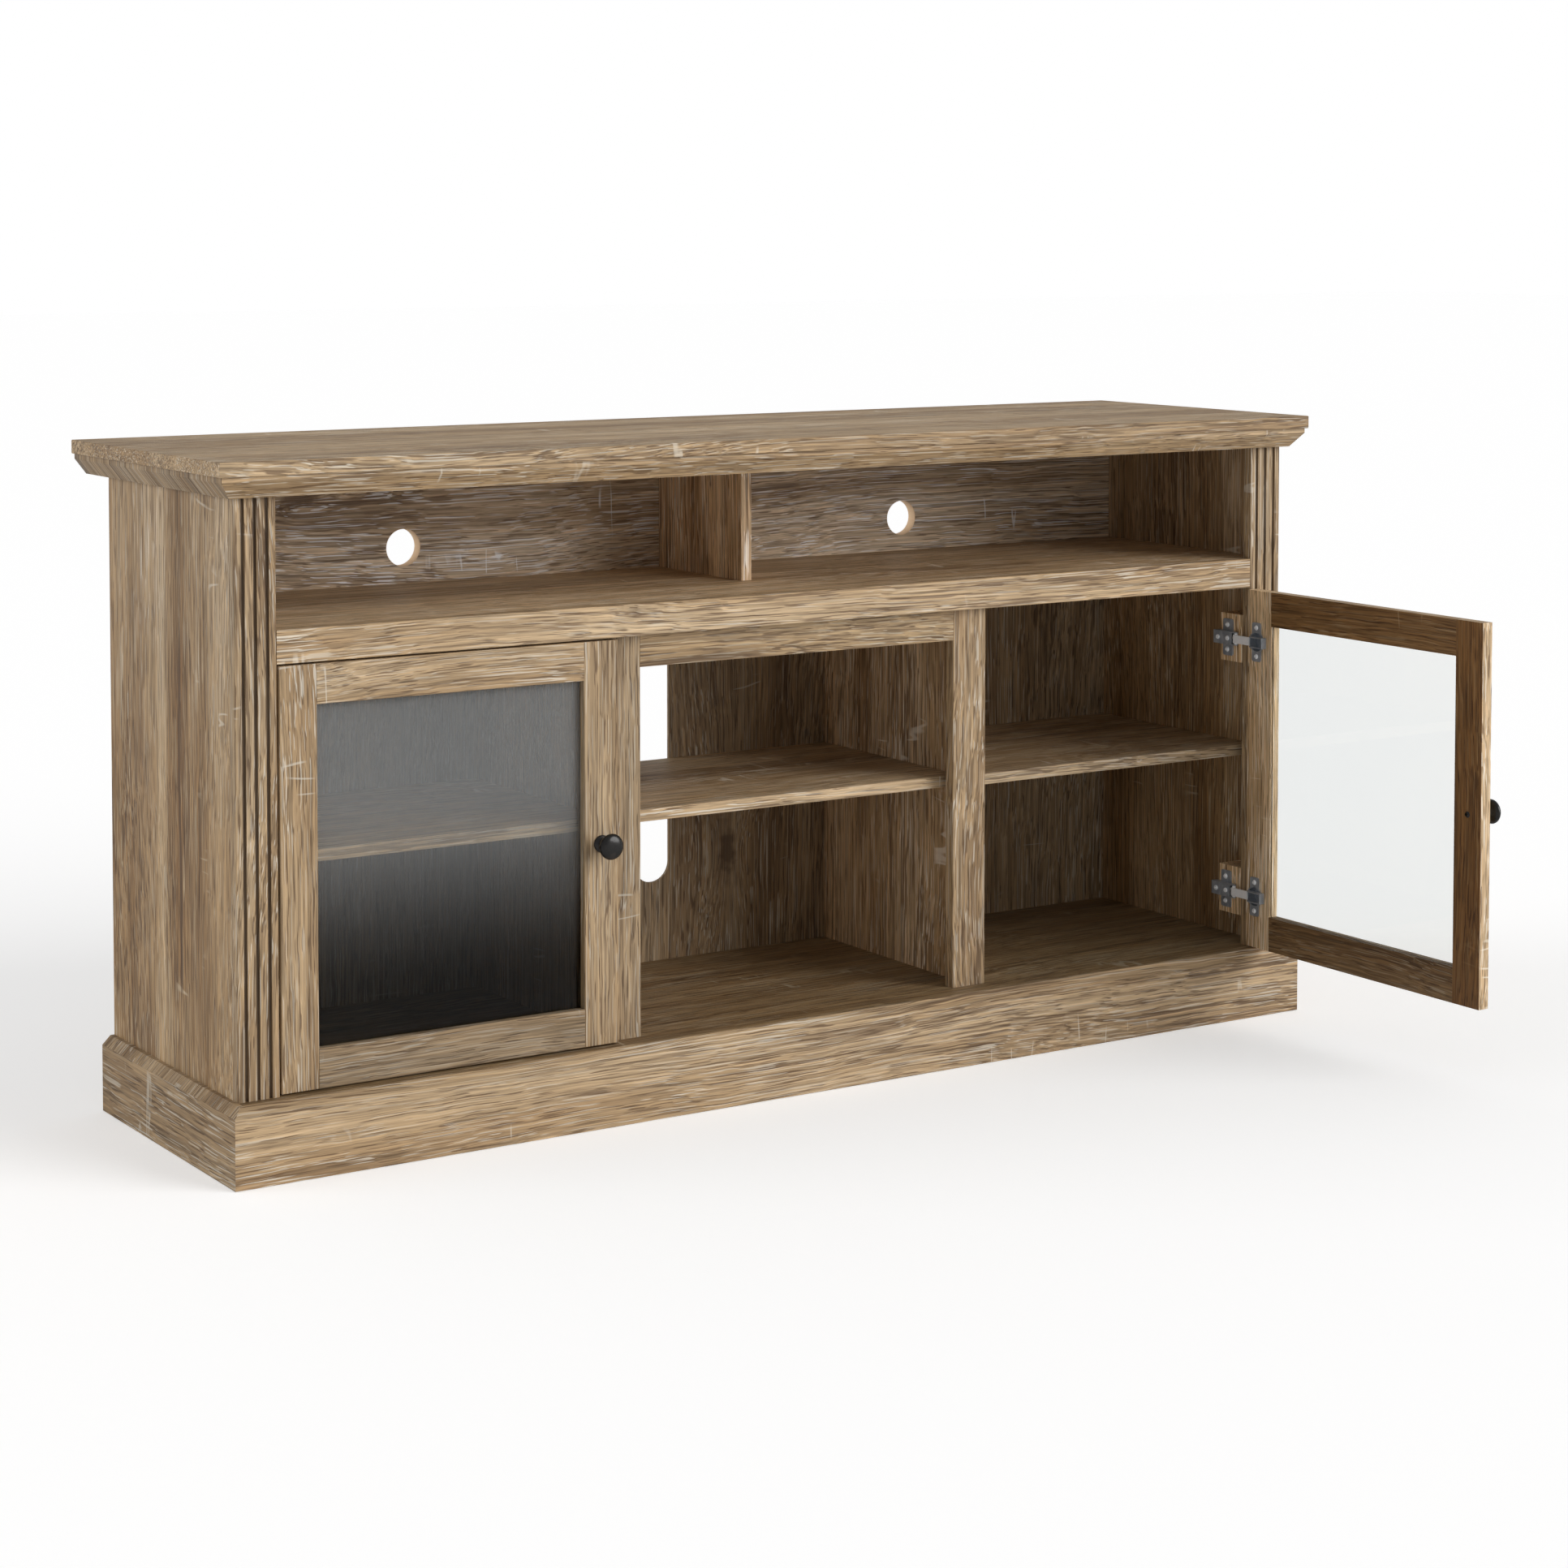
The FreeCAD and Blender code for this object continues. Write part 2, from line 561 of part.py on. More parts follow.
door_parts = {
    "door_hinge_stile": [hinge_stile],
    "door_free_stile": [free_stile],
    "door_bottom_rail": [rails[0]],
    "door_top_rail": [rails[1]],
    "door_glass": [glass],
    "knob": [knob],
    "knob_screw": [knob_screw],
    "hinge_cups": cups,
    "cup_screws": cup_screws,
}
for name, solids in door_parts.items():
    turned = []
    for s in solids:
        t = s.copy()
        t.rotate(V(axis_x, axis_y, 0), V(0, 0, 1), right_door_open)
        turned.append(t)
    save(name + "_right", turned)
    save(name + "_left", [mirror(s) for s in solids])
turned = []
for s in links:
    t = s.copy()
    t.rotate(V(pin_x, pin_y, 0), V(0, 0, 1), right_door_open)
    turned.append(t)
save("hinge_links_right", turned)
save("hinge_links_left", [mirror(s) for s in links])

fixed_parts = {
    "hinge_blocks": blocks,
    "hinge_plates": plates,
    "hinge_arms": arms,
    "plate_screws": plate_screws,
    "arm_screws": arm_screws,
}
for name, solids in fixed_parts.items():
    save(name + "_right", solids)
    save(name + "_left", [mirror(s) for s in solids])
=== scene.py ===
import math
import bpy
from mathutils import Matrix, Vector


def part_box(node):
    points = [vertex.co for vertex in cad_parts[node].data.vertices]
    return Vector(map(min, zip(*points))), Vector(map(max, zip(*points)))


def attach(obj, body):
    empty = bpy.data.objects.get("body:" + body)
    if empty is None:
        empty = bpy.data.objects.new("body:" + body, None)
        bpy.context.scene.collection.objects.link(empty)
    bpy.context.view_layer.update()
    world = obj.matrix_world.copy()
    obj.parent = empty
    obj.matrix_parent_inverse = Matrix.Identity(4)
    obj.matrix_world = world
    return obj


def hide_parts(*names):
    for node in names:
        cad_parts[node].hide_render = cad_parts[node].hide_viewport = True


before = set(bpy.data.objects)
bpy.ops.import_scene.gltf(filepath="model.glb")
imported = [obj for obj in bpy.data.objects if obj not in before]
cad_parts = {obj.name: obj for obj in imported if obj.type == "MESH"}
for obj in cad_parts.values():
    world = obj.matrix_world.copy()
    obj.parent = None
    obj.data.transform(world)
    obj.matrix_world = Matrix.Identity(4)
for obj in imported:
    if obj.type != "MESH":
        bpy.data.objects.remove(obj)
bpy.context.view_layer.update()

# ---- Where the cabinet is seen from -------------------------------------------------------------
# A long lens a little above the top's height, from the left of the front, looking slightly down.
bpy.ops.object.select_all(action="DESELECT")
camera_yaw = math.radians(32.627)
camera_down = math.radians(3.053)
camera_data = bpy.data.cameras.new("camera")
camera = bpy.data.objects.new("camera", camera_data)
bpy.context.scene.collection.objects.link(camera)
camera.location = (-2.1287, -3.3857, 1.0334)
camera.rotation_euler = (math.radians(90) - camera_down, 0, -camera_yaw)
camera_data.sensor_width = 36
camera_data.sensor_fit = "HORIZONTAL"
camera_data.lens = 75.471
camera_data.shift_x = 0.0139
camera_data.shift_y = -0.25
camera_data.clip_end = 200
bpy.context.scene.camera = camera

# ---- The studio ---------------------------------------------------------------------------------
# A pale floor under a soft white sky, a broad light on the front right and a weaker one from the
# left, a little behind.
bpy.ops.mesh.primitive_plane_add(size=60, location=(0, 0, -0.0005))
floor = bpy.context.object
floor.name = "studio_floor"
floor_paint = bpy.data.materials.new("pale_floor")
floor_paint.use_nodes = True
floor_shader = floor_paint.node_tree.nodes["Principled BSDF"]
floor_shader.inputs["Base Color"].default_value = (0.86, 0.86, 0.86, 1)
floor_shader.inputs["Roughness"].default_value = 0.9
floor_shader.inputs["Specular IOR Level"].default_value = 0.1
floor_shader.inputs["Emission Color"].default_value = (1, 1, 1, 1)
floor_glow = 0.38  # brings the lit floor up to white
sky_light = 0.42  # as a lamp; it is plain white to look at
sky_white = 1.0


def math_node(tree, kind, a, b=None, c=None, clamp=False):
    node = tree.nodes.new("ShaderNodeMath")
    node.operation = kind
    node.use_clamp = clamp
    for socket, value in zip(node.inputs, (a, b, c)):
        if value is None:
            continue
        if isinstance(value, (int, float)):
            socket.default_value = value
        else:
            tree.links.new(value, socket)
    return node.outputs[0]


def seen_directly(tree):
    # 1 for what the camera sees, straight or through the glass; 0 for light on its way round
    rays = tree.nodes.new("ShaderNodeLightPath")
    not_bounced = math_node(tree, "LESS_THAN", rays.outputs["Diffuse Depth"], 0.5)
    through_glass = math_node(tree, "MULTIPLY", rays.outputs["Is Transmission Ray"], not_bounced)
    return math_node(tree, "MAXIMUM", rays.outputs["Is Camera Ray"], through_glass)


floor_tree = floor_paint.node_tree
floor_tree.links.new(math_node(floor_tree, "MULTIPLY", seen_directly(floor_tree), floor_glow),
                     floor_shader.inputs["Emission Strength"])
floor.data.materials.append(floor_paint)

sky = bpy.data.worlds.new("soft_sky")
sky.use_nodes = True
sky_tree = sky.node_tree
sky_background = sky_tree.nodes["Background"]
sky_background.inputs["Color"].default_value = (1, 1, 1, 1)
sky_level = sky_tree.nodes.new("ShaderNodeMapRange")
sky_level.inputs["To Min"].default_value = sky_light
sky_level.inputs["To Max"].default_value = sky_white
sky_tree.links.new(seen_directly(sky_tree), sky_level.inputs["Value"])
sky_tree.links.new(sky_level.outputs[0], sky_background.inputs["Strength"])
bpy.context.scene.world = sky
bpy.context.scene.view_settings.view_transform = "Standard"


def broad_light(name, strength, spread, from_point):
    lamp = bpy.data.lights.new(name, "SUN")
    lamp.energy = strength
    lamp.angle = math.radians(spread)
    lamp_object = bpy.data.objects.new(name, lamp)
    bpy.context.scene.collection.objects.link(lamp_object)
    lamp_object.rotation_euler = Vector(from_point).to_track_quat("Z", "Y").to_euler()


broad_light("key_light", 1.95, 42, (0.62, -0.79, 0.38))
broad_light("side_light", 1.0, 40, (-1.0, 0.40, 0.28))


# ---- Top slab and cornice -----------------------------------------------------------------------
# Rustic oak with a limed finish: boards wrapped in a wire-brushed veneer with its grain along the
# length, white filler left in the open pores. The mitred cornice is glued up under the slab.
def stretched_noise(tree, vector, scale, detail=2.0, rough=0.5, shift=0.0):
    # noise drawn out along the grain: scale is cells per metre along and across it
    place = tree.nodes.new("ShaderNodeMapping")
    place.inputs["Scale"].default_value = scale
    place.inputs["Location"].default_value = (shift, shift * 1.7, shift * 2.3)
    noise = tree.nodes.new("ShaderNodeTexNoise")
    noise.inputs["Scale"].default_value = 1.0
    noise.inputs["Detail"].default_value = detail
    noise.inputs["Roughness"].default_value = rough
    tree.links.new(vector, place.inputs["Vector"])
    tree.links.new(place.outputs[0], noise.inputs["Vector"])
    return noise.outputs["Fac"]


def window(tree, value, low, high):
    # 0 below low, 1 above high, smooth between
    step = tree.nodes.new("ShaderNodeMapRange")
    step.interpolation_type = "SMOOTHSTEP"
    step.inputs["From Min"].default_value = low
    step.inputs["From Max"].default_value = high
    tree.links.new(value, step.inputs["Value"])
    return step.outputs[0]


def blend(tree, factor, first, second, kind="MIX"):
    mix = tree.nodes.new("ShaderNodeMix")
    mix.data_type = "RGBA"
    mix.blend_type = kind
    for socket, value in ((mix.inputs[0], factor), (mix.inputs[6], first), (mix.inputs[7], second)):
        if isinstance(value, (int, float)):
            socket.default_value = value
        elif isinstance(value, tuple):
            socket.default_value = (*value, 1)
        else:
            tree.links.new(value, socket)
    return mix.outputs[2]


oak_dark = (0.105, 0.055, 0.024)
oak_brown = (0.300, 0.188, 0.093)
oak_tan = (0.428, 0.290, 0.157)
oak_pale = (0.535, 0.390, 0.236)
lime_white = (0.82, 0.75, 0.63)
raw_core = (0.92, 0.68, 0.44)

# how strongly each mark covers the wood under it, from 0 to 1
ring_cover, streak_cover, split_cover = 0.34, 0.62, 0.68
pore_cover, mark_cover, heart_cover = 0.72, 0.5, 0.75
lime_thin, lime_thick = 0.26, 0.42  # everywhere, and what patches of it add
fibre_depth, strand_depth = 2.3, 0.6

oak = bpy.data.node_groups.new("limed_oak_grain", "ShaderNodeTree")
for socket_name, socket_type in (("Vector", "NodeSocketVector"), ("Swerve", "NodeSocketFloat"),
                                 ("Heart", "NodeSocketFloat")):
    oak.interface.new_socket(socket_name, in_out="INPUT", socket_type=socket_type)
for socket_name, socket_type in (("Color", "NodeSocketColor"), ("Roughness", "NodeSocketFloat"),
                                 ("Height", "NodeSocketFloat")):
    oak.interface.new_socket(socket_name, in_out="OUTPUT", socket_type=socket_type)
grain_in = oak.nodes.new("NodeGroupInput")
grain_out = oak.nodes.new("NodeGroupOutput")
place = grain_in.outputs["Vector"]

# wander: the grain drifts sideways over a few hundred millimetres
wander = stretched_noise(oak, place, (1.3, 4.0, 4.0), detail=1.0, rough=0.5, shift=3.1)
drift = math_node(oak, "MULTIPLY_ADD", wander, 0.07, -0.035)
split = oak.nodes.new("ShaderNodeSeparateXYZ")
oak.links.new(place, split.inputs[0])
ripple_size = 0.0045
ripple = stretched_noise(oak, place, (15.0, 30.0, 30.0), detail=2.0, rough=0.5, shift=21.0)
ripple = math_node(oak, "MULTIPLY_ADD", ripple, ripple_size, drift)
# swerve: how far the grain is pushed aside by a knot
ripple = math_node(oak, "ADD", ripple, grain_in.outputs["Swerve"])
bent = oak.nodes.new("ShaderNodeCombineXYZ")
oak.links.new(split.outputs["X"], bent.inputs["X"])
oak.links.new(math_node(oak, "ADD", split.outputs["Y"], ripple), bent.inputs["Y"])
oak.links.new(math_node(oak, "ADD", split.outputs["Z"], ripple), bent.inputs["Z"])
bent_place = bent.outputs[0]

# broad bands of lighter and darker wood, then growth lines, then fibres
bands = stretched_noise(oak, bent_place, (0.8, 17.0, 17.0), detail=4.0, rough=0.60, shift=0.0)
ramp = oak.nodes.new("ShaderNodeValToRGB")
oak.links.new(bands, ramp.inputs[0])
ramp.color_ramp.elements[0].position = 0.33
ramp.color_ramp.elements[0].color = (*oak_brown, 1)
ramp.color_ramp.elements[1].position = 0.66
ramp.color_ramp.elements[1].color = (*oak_pale, 1)
middle = ramp.color_ramp.elements.new(0.48)
middle.color = (*oak_tan, 1)
growth_place = oak.nodes.new("ShaderNodeSeparateXYZ")
oak.links.new(bent_place, growth_place.inputs[0])
growth = math_node(oak, "MULTIPLY_ADD", growth_place.outputs["Z"], 0.83, growth_place.outputs["Y"])
growth_stray = stretched_noise(oak, place, (2.4, 9.0, 9.0), detail=2.0, rough=0.5, shift=7.7)
growth = math_node(oak, "MULTIPLY_ADD", growth_stray, 0.035, growth)
ring_turn = 760.0  # radians a metre: a growth line every 8.3 mm
ring_wave = math_node(oak, "SINE", math_node(oak, "MULTIPLY", growth, ring_turn))
ring_patches = stretched_noise(oak, bent_place, (1.4, 12.0, 12.0), detail=2.0, rough=0.5, shift=11.0)
ring_here = window(oak, ring_patches, low=0.44, high=0.62)
ring_line = math_node(oak, "MULTIPLY", window(oak, ring_wave, 0.35, 1.0), ring_here)
fibre = stretched_noise(oak, bent_place, (5.0, 400.0, 400.0), detail=3.0, rough=0.66, shift=1.3)
strand = stretched_noise(oak, bent_place, (2.6, 125.0, 125.0), detail=3.0, rough=0.6, shift=8.2)
even_tone = 1.0 - (fibre_depth + strand_depth) / 2
fibre_tone = math_node(oak, "MULTIPLY_ADD", strand, strand_depth, even_tone)
fibre_tone = math_node(oak, "MULTIPLY_ADD", fibre, fibre_depth, fibre_tone)
colour = blend(oak, math_node(oak, "MULTIPLY", ring_line, ring_cover), ramp.outputs[0], oak_dark)
tone = oak.nodes.new("ShaderNodeCombineColor")
for channel in tone.inputs:
    oak.links.new(fibre_tone, channel)
colour = blend(oak, 1.0, colour, tone.outputs[0], "MULTIPLY")

# long dark streaks and splits
streak_noise = stretched_noise(oak, bent_place, (1.8, 70.0, 70.0), detail=3.0, rough=0.55, shift=5.0)
streak_patches = stretched_noise(oak, place, (1.3, 10.0, 10.0), detail=1.0, rough=0.5, shift=9.0)
streak_here = window(oak, streak_patches, low=0.47, high=0.60)
streak = math_node(oak, "MULTIPLY", window(oak, streak_noise, 0.58, 0.70), streak_here)
colour = blend(oak, math_node(oak, "MULTIPLY", streak, streak_cover), colour, oak_dark)
split_line = math_node(oak, "ABSOLUTE", math_node(oak, "SUBTRACT", streak_noise, 0.5))
split_line = math_node(oak, "SUBTRACT", 1.0, window(oak, split_line, 0.010, 0.034))
split_line = math_node(oak, "MULTIPLY", split_line, streak_here)
colour = blend(oak, math_node(oak, "MULTIPLY", split_line, split_cover), colour, oak_dark)

# open pores: short dark dashes, and white filler in others
pore_noise = stretched_noise(oak, bent_place, (17.0, 560.0, 560.0), detail=1.0, rough=0.5, shift=2.0)
pore = math_node(oak, "SUBTRACT", 1.0, window(oak, pore_noise, 0.35, 0.42))
colour = blend(oak, math_node(oak, "MULTIPLY", pore, pore_cover), colour, oak_dark)
lime_noise = stretched_noise(oak, bent_place, (9.0, 600.0, 600.0), detail=1.0, rough=0.5, shift=6.0)
lime_patches = stretched_noise(oak, place, (2.6, 16.0, 16.0), detail=2.0, rough=0.5, shift=13.0)
lime_here = window(oak, lime_patches, low=0.36, high=0.64)
lime = math_node(oak, "MULTIPLY", window(oak, lime_noise, 0.58, 0.65), math_node(
    oak, "MULTIPLY_ADD", lime_here, lime_thick, lime_thin))
colour = blend(oak, lime, colour, lime_white)

# saw marks: a few pale hairlines square to the grain
mark_noise = stretched_noise(oak, place, (26.0, 3.5, 3.5), detail=2.0, rough=0.5, shift=4.0)
mark_patches = stretched_noise(oak, place, (9.0, 14.0, 14.0), detail=1.0, rough=0.5, shift=17.0)
mark_here = window(oak, mark_patches, low=0.65, high=0.71)
mark = math_node(oak, "ABSOLUTE", math_node(oak, "SUBTRACT", mark_noise, 0.5))
mark = math_node(oak, "SUBTRACT", 1.0, window(oak, mark, 0.004, 0.018))
mark = math_node(oak, "MULTIPLY", mark, mark_here)
colour = blend(oak, math_node(oak, "MULTIPLY", mark, mark_cover), colour, lime_white)

# the knot's dark heart
heart = math_node(oak, "MULTIPLY", grain_in.outputs["Heart"], heart_cover)
colour = blend(oak, heart, colour, oak_dark)

height = math_node(oak, "MULTIPLY_ADD", pore, -0.8, fibre)
height = math_node(oak, "MULTIPLY_ADD", split_line, -0.9, height)
shine = math_node(oak, "MULTIPLY_ADD", lime, 0.18, 0.52)
oak.links.new(colour, grain_out.inputs["Color"])
oak.links.new(shine, grain_out.inputs["Roughness"])
oak.links.new(height, grain_out.inputs["Height"])

grain_turn = {"x": (0, 0, 0), "y": (0, 0, -math.pi / 2), "z": (0, math.pi / 2, 0)}
oak_seed = [0]


def limed_oak(name, along, knot=None, tone=1.0, grey=0.0, special=None):
    # one board's finish: along is the grain's axis, knot is (place, reach) in metres, tone is how light
    # it is and grey how much cooler (below 0: warmer), both partly the board's own colour and partly
    # painted light and shade; special adds what only that board has
    oak_seed[0] += 1
    material = bpy.data.materials.new("limed_oak_" + name)
    material.use_nodes = True
    tree = material.node_tree
    shader = tree.nodes["Principled BSDF"]
    where = tree.nodes.new("ShaderNodeTexCoord")
    turn = tree.nodes.new("ShaderNodeMapping")
    turn.inputs["Rotation"].default_value = grain_turn[along]
    next_board = (1.37, 0.61, -0.43)  # each board is cut from another part of the pattern
    turn.inputs["Location"].default_value = [oak_seed[0] * step for step in next_board]
    grain = tree.nodes.new("ShaderNodeGroup")
    grain.node_tree = oak
    tree.links.new(where.outputs["Object"], turn.inputs["Vector"])
    tree.links.new(turn.outputs[0], grain.inputs["Vector"])
    if knot:
        centre, reach = knot
        # the grain swerves round the knot: the push is greatest beside it and fades with distance
        along_axis, across_axis = {"x": ("X", "Z"), "y": ("Y", "Z"), "z": ("Z", "X")}[along]
        from_knot = tree.nodes.new("ShaderNodeVectorMath")
        from_knot.operation = "SUBTRACT"
        from_knot.inputs[1].default_value = centre
        tree.links.new(where.outputs["Object"], from_knot.inputs[0])
        parts = tree.nodes.new("ShaderNodeSeparateXYZ")
        tree.links.new(from_knot.outputs[0], parts.inputs[0])
        down = math_node(tree, "MULTIPLY", parts.outputs[along_axis], 0.34)
        side = parts.outputs[across_axis]
        far = math_node(tree, "ADD", math_node(tree, "MULTIPLY", down, down),
                        math_node(tree, "MULTIPLY", side, side))
        push = math_node(tree, "DIVIDE", -reach * reach,
                         math_node(tree, "ADD", far, 0.7 * reach * reach))
        tree.links.new(math_node(tree, "MULTIPLY", push, side), grain.inputs["Swerve"])
        uneven = stretched_noise(tree, where.outputs["Object"], (90.0, 90.0, 90.0), detail=2.0,
                                 rough=0.5, shift=1.9)
        heart_edge = math_node(tree, "MULTIPLY_ADD", uneven, reach * 0.6, math_node(tree, "SQRT", far))
        tree.links.new(math_node(tree, "SUBTRACT", 1.0,
                                 window(tree, heart_edge, reach * 0.45, reach * 0.85)),
                       grain.inputs["Heart"])
    finish = grain.outputs["Color"]
    if tone != 1.0 or grey:
        # tone and grey: partly the board's own colour, partly painted light and shade
        tone_and_painted_light = (tone, tone * (1.0 + 0.05 * grey), tone * (1.0 + 0.16 * grey))
        finish = blend(tree, 1.0, finish, tone_and_painted_light, "MULTIPLY")
    if special:
        finish = special(tree, where.outputs["Object"], finish)
    bump = tree.nodes.new("ShaderNodeBump")
    bump.inputs["Strength"].default_value = 0.45
    bump.inputs["Distance"].default_value = 0.0005
    tree.links.new(grain.outputs["Height"], bump.inputs["Height"])
    tree.links.new(finish, shader.inputs["Base Color"])
    tree.links.new(grain.outputs["Roughness"], shader.inputs["Roughness"])
    tree.links.new(bump.outputs[0], shader.inputs["Normal"])
    shader.inputs["Specular IOR Level"].default_value = 0.35
    return material


def finish_node(node, material):
    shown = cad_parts[node]
    shown.data.materials.clear()
    shown.data.materials.append(material)


finish_node("top_slab", limed_oak("top_slab", "x", tone=1.01, grey=-0.2))
finish_node("cornice_front", limed_oak("cornice_front", "x"))


def short_grain(from_height, tone):
    # on the side lengths the veneer on the moulded face was laid with its grain across the length
    def shade(tree, place, finish):
        parts = tree.nodes.new("ShaderNodeSeparateXYZ")
        tree.links.new(place, parts.inputs[0])
        slope = tree.nodes.new("ShaderNodeCombineXYZ")
        tree.links.new(math_node(tree, "ADD", parts.outputs["X"], parts.outputs["Z"]),
                       slope.inputs["X"])
        tree.links.new(parts.outputs["Y"], slope.inputs["Y"])
        grain = tree.nodes.new("ShaderNodeGroup")
        grain.node_tree = oak
        tree.links.new(slope.outputs[0], grain.inputs["Vector"])
        moulded = math_node(tree, "GREATER_THAN", parts.outputs["Z"], from_height)
        short = blend(tree, 1.0, grain.outputs["Color"], (tone, tone, tone), "MULTIPLY")
        return blend(tree, moulded, finish, short)
    return shade


finish_node("cornice_left", limed_oak("cornice_left", "y", special=short_grain(0.0, 0.80)))
finish_node("cornice_right", limed_oak("cornice_right", "y", special=short_grain(0.0, 0.9)))

# ---- Side panels and pilasters ------------------------------------------------------------------
# Upright boards with the grain running up; three half-round flutes are routed in each pilaster,
# which is planted on the side panel's front edge.
flute_middle = 0.70675
flute_reach = 0.0175
flute_dark = (0.060, 0.034, 0.017)
flute_cover = 0.82
front_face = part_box("pilaster_left")[0][1]


def dark_flutes(tree, place, finish):
    # the deeper part of each flute is coloured a dark brown
    split = tree.nodes.new("ShaderNodeSeparateXYZ")
    tree.links.new(place, split.inputs[0])
    off = math_node(tree, "SUBTRACT", math_node(tree, "ABSOLUTE", split.outputs["X"]), flute_middle)
    inside = math_node(tree, "LESS_THAN", math_node(tree, "ABSOLUTE", off), flute_reach)
    deep = window(tree, split.outputs["Y"], front_face + 0.0008, front_face + 0.0026)
    flute_darkening = math_node(tree, "MULTIPLY", math_node(tree, "MULTIPLY", deep, inside), flute_cover)
    return blend(tree, flute_darkening, finish, flute_dark)


# the drying split: where it runs, how far it strays, how gently it ends, and how dark it is
split_at, split_stray = -0.012, 0.014
split_low, split_high, split_taper = 0.14, 0.60, 0.07
split_dark = 0.9
# how far from the split the painted highlight on its raised lip runs
lip_highlight_offset = 0.0068

# what the side panels' colour is multiplied by; the last, along one lip of the split, is a painted
# highlight
broad_streak = (0.74, 0.67, 0.57)
browner_foot = (0.97, 0.93, 0.87)
greyer_head = (1.05, 1.08, 1.15)
beside_split = (0.74, 0.66, 0.55)
painted_lip_highlight = (1.35, 1.35, 1.35)


def shaded(tree, factor, finish, shade):
    # the finish multiplied by a shade where factor is 1
    return blend(tree, factor, finish, blend(tree, 1.0, finish, shade, "MULTIPLY"))


def near_line(tree, off, full, gone):
    # 1 on the line that off is measured from, 0 beyond gone
    return math_node(tree, "SUBTRACT", 1.0, window(tree, math_node(tree, "ABSOLUTE", off), full, gone))


def side_panel_marks(side):
    # the side panels turn greyer and a little lighter towards the top and browner towards the foot; the
    # left one has a long drying split
    def shade(tree, place, finish):
        parts = tree.nodes.new("ShaderNodeSeparateXYZ")
        tree.links.new(place, parts.inputs[0])
        broad = stretched_noise(tree, place, (11.0, 11.0, 0.9), detail=3.0, rough=0.6, shift=5.2)
        finish = shaded(tree, window(tree, broad, 0.47, 0.64), finish, broad_streak)
        up = window(tree, parts.outputs["Z"], 0.30, 0.72)
        finish = blend(tree, up, blend(tree, 1.0, finish, browner_foot, "MULTIPLY"),
                       blend(tree, 1.0, finish, greyer_head, "MULTIPLY"))
        if side == "right":
            return finish
        stray = stretched_noise(tree, place, (7.0, 7.0, 7.0), detail=3.0, rough=0.5, shift=2.2)
        off = math_node(tree, "SUBTRACT", parts.outputs["Y"],
                        math_node(tree, "MULTIPLY_ADD", stray, split_stray, split_at - split_stray / 2))
        above = window(tree, parts.outputs["Z"], split_low, split_low + split_taper)
        below = window(tree, parts.outputs["Z"], split_high - split_taper, split_high)
        here = math_node(tree, "MULTIPLY", above, math_node(tree, "SUBTRACT", 1.0, below))
        beside = near_line(tree, off, 0.006, 0.048)
        finish = shaded(tree, math_node(tree, "MULTIPLY", beside, here), finish, beside_split)
        # a thin pale line along one lip of the split: a painted highlight
        lip_highlight = near_line(tree, math_node(tree, "ADD", off, lip_highlight_offset), 0.0010, 0.0034)
        finish = shaded(tree, math_node(tree, "MULTIPLY", lip_highlight, here), finish, painted_lip_highlight)
        line = math_node(tree, "MULTIPLY", near_line(tree, off, 0.0016, 0.0040), here)
        line = math_node(tree, "MULTIPLY", line, split_dark)
        return blend(tree, line, finish, oak_dark)
    return shade


for side in ("left", "right"):
    finish_node("side_panel_" + side, limed_oak("side_panel_" + side, "z", tone=0.97, grey=-0.2,
                                                special=side_panel_marks(side)))
    finish_node("pilaster_" + side, limed_oak("pilaster_" + side, "z", tone=0.9, special=dark_flutes))

# ---- Deck, deck rail, divider and upper back ----------------------------------------------------
# The deck is a long board with a deeper rail glued on its front edge, flush on top. The divider
# stands on it, short of the front, against an upper back with two bored cable holes.
hole_x = 0.366
hole_z = 0.6353
hole_reach = 0.0229


def bored_walls(tree, place, finish):
    # the board's raw core shows on the walls of the cable holes
    split = tree.nodes.new("ShaderNodeSeparateXYZ")
    tree.links.new(place, split.inputs[0])
    off_x = math_node(tree, "SUBTRACT", math_node(tree, "ABSOLUTE", split.outputs["X"]), hole_x)
    off_z = math_node(tree, "SUBTRACT", split.outputs["Z"], hole_z)
    reach = math_node(tree, "SQRT", math_node(tree, "ADD", math_node(tree, "MULTIPLY", off_x, off_x),
                                              math_node(tree, "MULTIPLY", off_z, off_z)))
    return blend(tree, math_node(tree, "LESS_THAN", reach, hole_reach), finish, raw_core)


# the tones and greys below are partly painted light: the deck, divider and upper back are lightened,
# and the divider and upper back tinted cooler, in the upper bay's shade
finish_node("deck_shelf", limed_oak("deck_shelf", "x", tone=1.28))
finish_node("deck_rail", limed_oak("deck_rail", "x", tone=1.08))
finish_node("upper_divider", limed_oak("upper_divider", "z", tone=1.8, grey=1.0))
finish_node("upper_back_panel", limed_oak("upper_back", "x", ((-0.50, 0.17, 0.70), 0.022), tone=1.42,
                                          grey=2.6, special=bored_walls))

